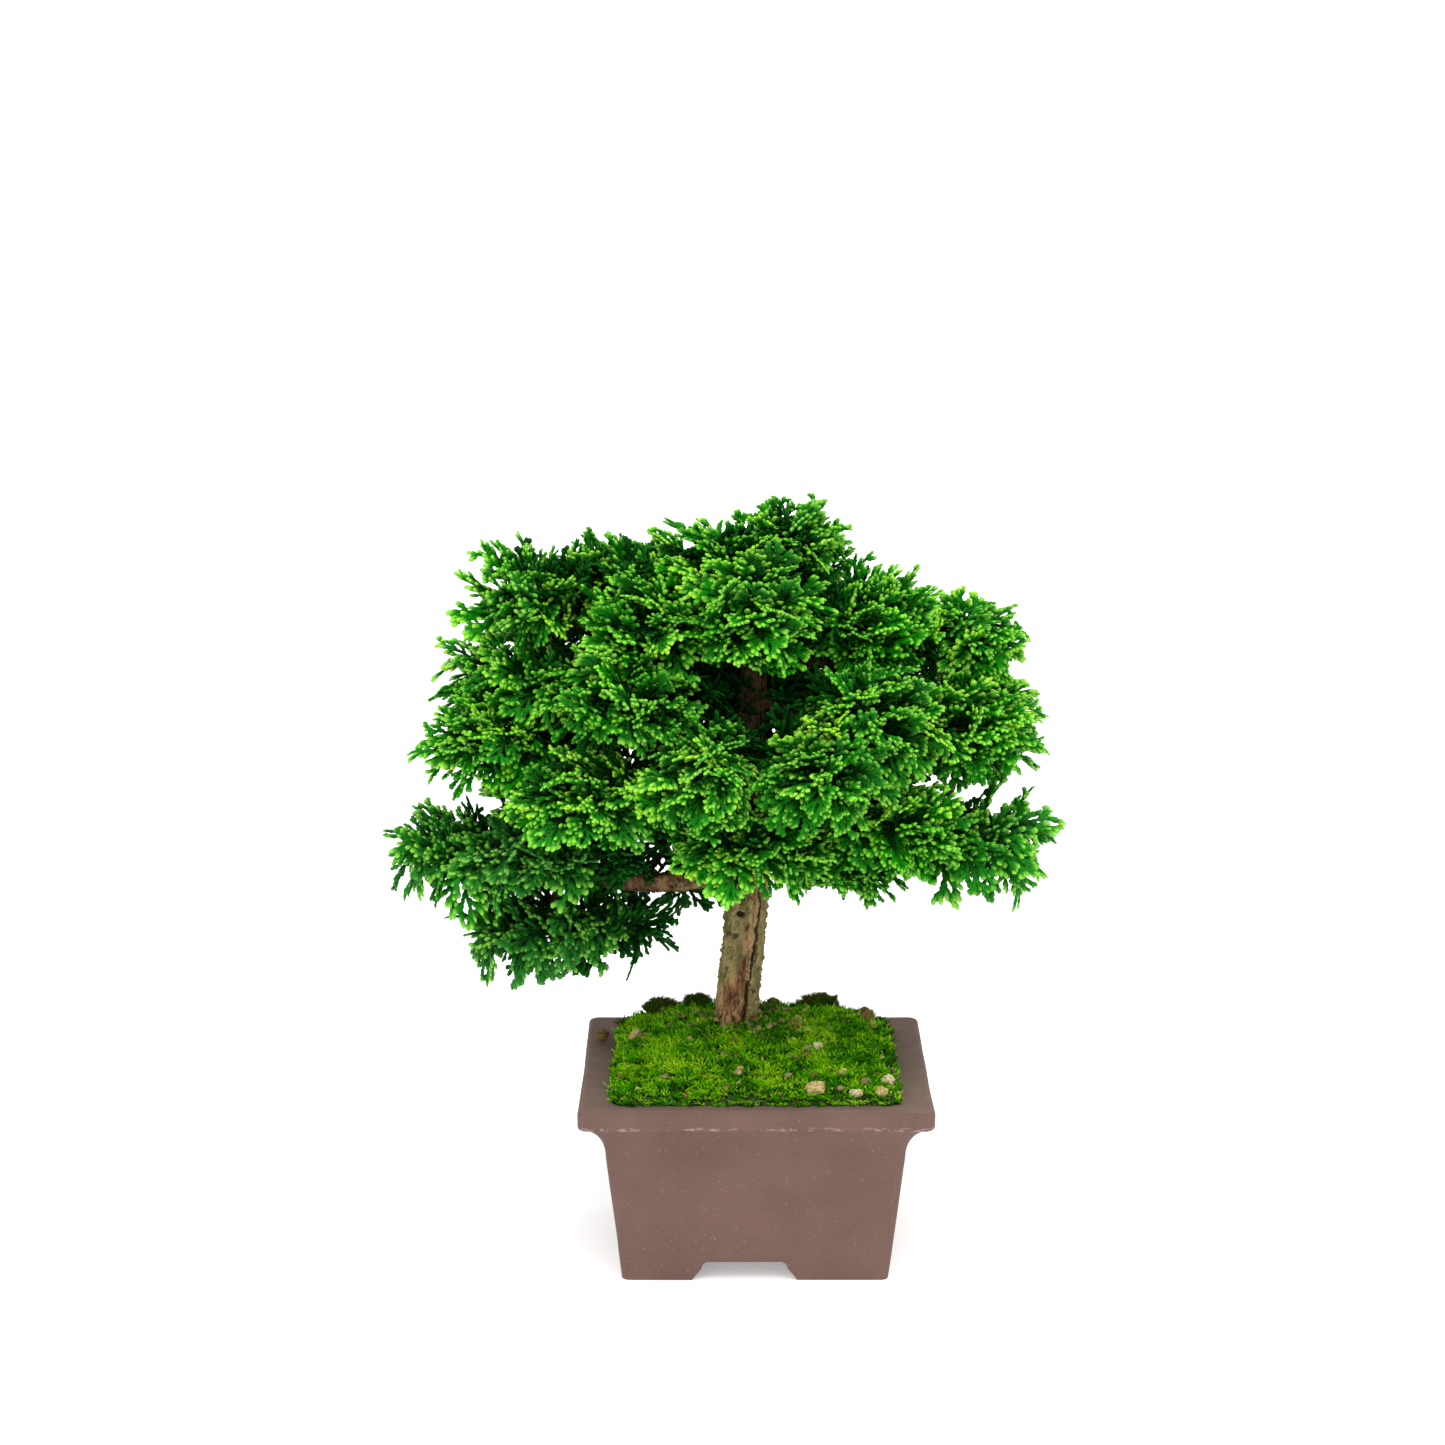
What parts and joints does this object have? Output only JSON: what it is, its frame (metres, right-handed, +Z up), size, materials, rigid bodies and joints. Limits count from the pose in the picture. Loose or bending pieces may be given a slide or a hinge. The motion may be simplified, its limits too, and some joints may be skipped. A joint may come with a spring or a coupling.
{
  "type": "bonsai tree in a pot",
  "caption": "Small hinoki cypress bonsai with layered fan-shaped foliage pads, in a rectangular unglazed clay pot with moss-covered soil.",
  "frame": {"origin": "bottom centre of the bounding box, on the surface that the pot's foot rim stands on", "axes": "+Z up; +Y to the back, along the pot's short side; +X to the right, along the pot's long side"},
  "size_m": [0.2862, 0.217, 0.3309],
  "materials": {
    "unglazed_clay": "matte",
    "screen_plastic": "matte",
    "screen_wire": "satin",
    "potting_soil": "matte",
    "green_moss": "matte",
    "dark_moss": "matte",
    "tree_bark": "matte",
    "foliage": "satin",
    "loose_stone": "matte",
    "baked_clay_lump": "matte"
  },
  "bodies": {
    "root": {"clay_lump_ledge": "baked_clay_lump", "clay_lump_long": "baked_clay_lump", "clay_lump_middle": "baked_clay_lump", "clay_lump_right": "baked_clay_lump", "clay_lump_trunk": "baked_clay_lump", "drainage_screen_left": "screen_plastic", "drainage_screen_right": "screen_plastic", "foliage_apex": "foliage", "foliage_back_left": "foliage", "foliage_back_low": "foliage", "foliage_back_low_left": "foliage", "foliage_back_low_right": "foliage", "foliage_back_mid": "foliage", "foliage_back_mid_left": "foliage", "foliage_back_mid_right": "foliage", "foliage_back_right": "foliage", "foliage_back_top": "foliage", "foliage_back_top_left": "foliage", "foliage_back_top_right": "foliage", "foliage_centre_left": "foliage", "foliage_crown_front": "foliage", "foliage_front_left": "foliage", "foliage_front_low": "foliage", "foliage_front_right": "foliage", "foliage_left_hanging": "foliage", "foliage_left_low": "foliage", "foliage_left_mid": "foliage", "foliage_left_tip": "foliage", "foliage_left_top": "foliage", "foliage_left_upper_mid": "foliage", "foliage_lower_left": "foliage", "foliage_right_low_front": "foliage", "foliage_right_mid": "foliage", "foliage_right_outer": "foliage", "foliage_right_shoulder": "foliage", "foliage_right_tip": "foliage", "foliage_right_top": "foliage", "foliage_right_under": "foliage", "foliage_top_centre": "foliage", "foliage_top_left": "foliage", "foliage_upper_left_front": "foliage", "moss_clump_back": "dark_moss", "moss_clump_left": "dark_moss", "moss_clump_right": "dark_moss", "moss_mat": "green_moss", "pot": "unglazed_clay", "potting_soil": "potting_soil", "screen_wire_left": "screen_wire", "screen_wire_right": "screen_wire", "stone_corner_cream": "loose_stone", "stone_corner_tan": "loose_stone", "stone_front_tan": "loose_stone", "stone_front_white": "loose_stone", "stone_left_tan": "loose_stone", "stone_middle_pale": "loose_stone", "stone_right_grey": "loose_stone", "stone_right_tan": "loose_stone", "tree": "tree_bark"}
  },
  "joints": []
}
